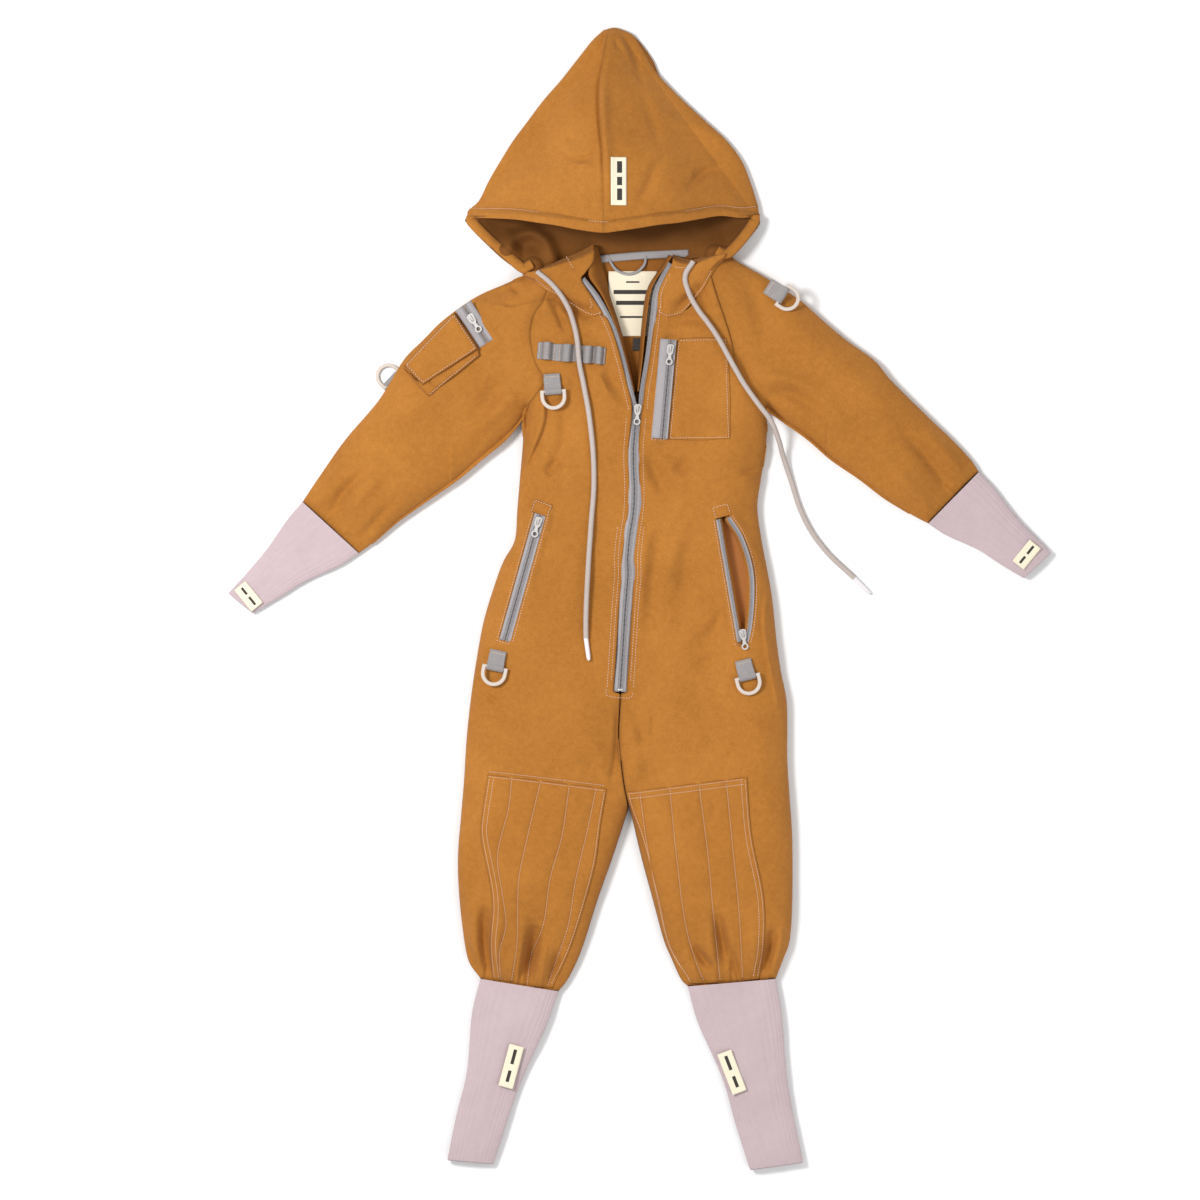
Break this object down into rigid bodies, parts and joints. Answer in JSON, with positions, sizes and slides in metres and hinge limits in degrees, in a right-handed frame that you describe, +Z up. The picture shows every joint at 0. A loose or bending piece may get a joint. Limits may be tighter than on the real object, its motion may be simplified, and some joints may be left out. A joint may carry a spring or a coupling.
{
  "type": "hooded coverall",
  "caption": "Child's hooded one-piece canvas coverall laid flat, with zipped pockets, webbing tool loops, D-rings, a hood drawcord and long knitted wrist and ankle cuffs.",
  "frame": {"origin": "centre of the laid-flat garment on the surface it lies on", "axes": "+Y up the garment to the hood, +X towards the wearer's left sleeve, +Z up off the surface"},
  "size_m": [0.9868, 1.3726, 0.0855],
  "materials": {
    "canvas": "ochre cotton canvas, plain weave, matt",
    "canvas_inside": "the same canvas, its inside face",
    "knit": "lilac pink rib knit",
    "zip_tape": "grey woven polyester tape with nylon coil",
    "webbing": "grey woven polyester webbing, slight sheen",
    "zip_metal": "grey lacquered cast zinc, satin",
    "ring": "moulded beige acetal, satin",
    "cord": "braided polyester cord, pale beige",
    "cord_tip": "pale moulded cord end",
    "label": "woven cream cotton label",
    "neck_tape": "grey herringbone tape"
  },
  "bodies": {
    "trunk": {"back_panel": "canvas_inside", "front_panel_right": "canvas", "front_panel_left": "canvas", "collar_right": "canvas", "collar_left": "canvas", "hanger_loop": "neck_tape", "neck_label": "label", "main_zip_tape_right": "zip_tape", "main_zip_tape_left": "zip_tape", "chest_pocket": "canvas", "chest_zip": "zip_tape", "tool_loops": "webbing", "chest_ring_tab": "webbing", "hip_zip_right": "zip_tape", "hip_zip_left": "zip_tape", "hip_pocket_bag": "canvas_inside", "hip_right_ring_tab": "webbing", "hip_left_ring_tab": "webbing", "drawcord_right": "cord", "drawcord_left": "cord", "cord_tip_right": "cord_tip", "cord_tip_left": "cord_tip"},
    "main_slider": {"main_slider": "zip_metal"},
    "main_pull": {"main_pull": "zip_metal"},
    "chest_slider": {"chest_slider": "zip_metal"},
    "chest_pull": {"chest_pull": "zip_metal"},
    "hip_right_slider": {"hip_right_slider": "zip_metal"},
    "hip_right_pull": {"hip_right_pull": "zip_metal"},
    "hip_left_slider": {"hip_left_slider": "zip_metal"},
    "hip_left_pull": {"hip_left_pull": "zip_metal"},
    "sleeve_slider": {"sleeve_slider": "zip_metal"},
    "sleeve_pull": {"sleeve_pull": "zip_metal"},
    "chest_ring": {"chest_ring": "ring"},
    "hip_right_ring": {"hip_right_ring": "ring"},
    "hip_left_ring": {"hip_left_ring": "ring"},
    "arm_right_ring": {"arm_right_ring": "ring"},
    "arm_left_ring": {"arm_left_ring": "ring"},
    "right_sleeve": {"sleeve_right": "canvas", "wrist_cuff_right": "knit", "wrist_label_right": "label", "sleeve_pocket": "canvas", "sleeve_zip": "zip_tape", "arm_right_ring_tab": "webbing"},
    "left_sleeve": {"sleeve_left": "canvas", "wrist_cuff_left": "knit", "wrist_label_left": "label", "arm_left_ring_tab": "webbing"},
    "right_leg": {"leg_right": "canvas", "knee_patch_right": "canvas", "ankle_cuff_right": "knit", "ankle_label_right": "label"},
    "left_leg": {"leg_left": "canvas", "knee_patch_left": "canvas", "ankle_cuff_left": "knit", "ankle_label_left": "label"},
    "hood": {"hood_panel_right": "canvas", "hood_panel_left": "canvas", "hood_back": "canvas_inside", "neck_tape": "neck_tape", "hood_label": "label"}
  },
  "joints": [
    {"name": "main_zip_run", "type": "slide", "parent": "trunk", "child": "main_slider", "axis": [-0.0615, -0.9981, 0], "range_m": [0, 0.32]},
    {"name": "chest_zip_run", "type": "slide", "parent": "trunk", "child": "chest_slider", "axis": [-0.0887, -0.9961, 0], "range_m": [0, 0.095]},
    {"name": "hip_right_zip_run", "type": "slide", "parent": "trunk", "child": "hip_right_slider", "axis": [-0.2696, -0.963, 0], "range_m": [0, 0.134]},
    {"name": "hip_left_zip_run", "type": "slide", "parent": "trunk", "child": "hip_left_slider", "axis": [-0.1742, 0.9847, 0], "range_m": [0, 0.11]},
    {"name": "sleeve_zip_run", "type": "slide", "parent": "right_sleeve", "child": "sleeve_slider", "axis": [0.5426, -0.84, 0], "range_m": [0, 0.025]},
    {"name": "main_pull_flip", "type": "hinge", "parent": "main_slider", "child": "main_pull", "pos_m": [-0.00419, 0.22671, 0.0357], "axis": [-0.9981, 0.0615, 0], "range_deg": [0, 165]},
    {"name": "chest_pull_flip", "type": "hinge", "parent": "chest_slider", "child": "chest_pull", "pos_m": [0.03478, 0.29825, 0.0405], "axis": [-0.9961, 0.0887, 0], "range_deg": [0, 165]},
    {"name": "hip_right_pull_flip", "type": "hinge", "parent": "hip_right_slider", "child": "hip_right_pull", "pos_m": [-0.12328, 0.09165, 0.0357], "axis": [-0.963, 0.2696, 0], "range_deg": [0, 165]},
    {"name": "hip_left_pull_flip", "type": "hinge", "parent": "hip_left_slider", "child": "hip_left_pull", "pos_m": [0.12156, -0.04279, 0.0357], "axis": [-0.9847, -0.1742, 0], "range_deg": [0, 165]},
    {"name": "sleeve_pull_flip", "type": "hinge", "parent": "sleeve_slider", "child": "sleeve_pull", "pos_m": [-0.20367, 0.33501, 0.0365], "axis": [-0.84, -0.5426, 0], "range_deg": [0, 165]},
    {"name": "chest_ring_swing", "type": "hinge", "parent": "trunk", "child": "chest_ring", "pos_m": [-0.10564, 0.24721, 0.038], "axis": [-0.9976, -0.0698, 0], "range_deg": [0, 140]},
    {"name": "hip_right_ring_swing", "type": "hinge", "parent": "trunk", "child": "hip_right_ring", "pos_m": [-0.17504, -0.08379, 0.038], "axis": [-0.9781, 0.2079, 0], "range_deg": [0, 140]},
    {"name": "hip_left_ring_swing", "type": "hinge", "parent": "trunk", "child": "hip_left_ring", "pos_m": [0.12696, -0.09479, 0.038], "axis": [-0.9703, -0.2419, 0], "range_deg": [0, 140]},
    {"name": "arm_right_ring_swing", "type": "hinge", "parent": "right_sleeve", "child": "arm_right_ring", "pos_m": [-0.29894, 0.26169, 0.004], "axis": [0.6833, 0.7302, 0], "range_deg": [0, 90]},
    {"name": "arm_left_ring_swing", "type": "hinge", "parent": "left_sleeve", "child": "arm_left_ring", "pos_m": [0.16905, 0.36251, 0.034], "axis": [-0.5402, -0.8415, 0], "range_deg": [0, 140]},
    {"name": "right_shoulder", "type": "hinge", "parent": "trunk", "child": "right_sleeve", "pos_m": [-0.18848, 0.28021, 0.015], "axis": [0, 0, 1], "range_deg": [-20, 5]},
    {"name": "left_shoulder", "type": "hinge", "parent": "trunk", "child": "left_sleeve", "pos_m": [0.16829, 0.29721, 0.015], "axis": [0, 0, 1], "range_deg": [0, 20]},
    {"name": "right_hip", "type": "hinge", "parent": "trunk", "child": "right_leg", "pos_m": [-0.12104, -0.18679, 0.015], "axis": [0, 0, 1], "range_deg": [-12, 0]},
    {"name": "left_hip", "type": "hinge", "parent": "trunk", "child": "left_leg", "pos_m": [0.07196, -0.18679, 0.015], "axis": [0, 0, 1], "range_deg": [0, 12]},
    {"name": "hood_fold", "type": "hinge", "parent": "trunk", "child": "hood", "pos_m": [-0.02904, 0.40721, 0.006], "axis": [1, 0, 0], "range_deg": [0, 70]}
  ]
}
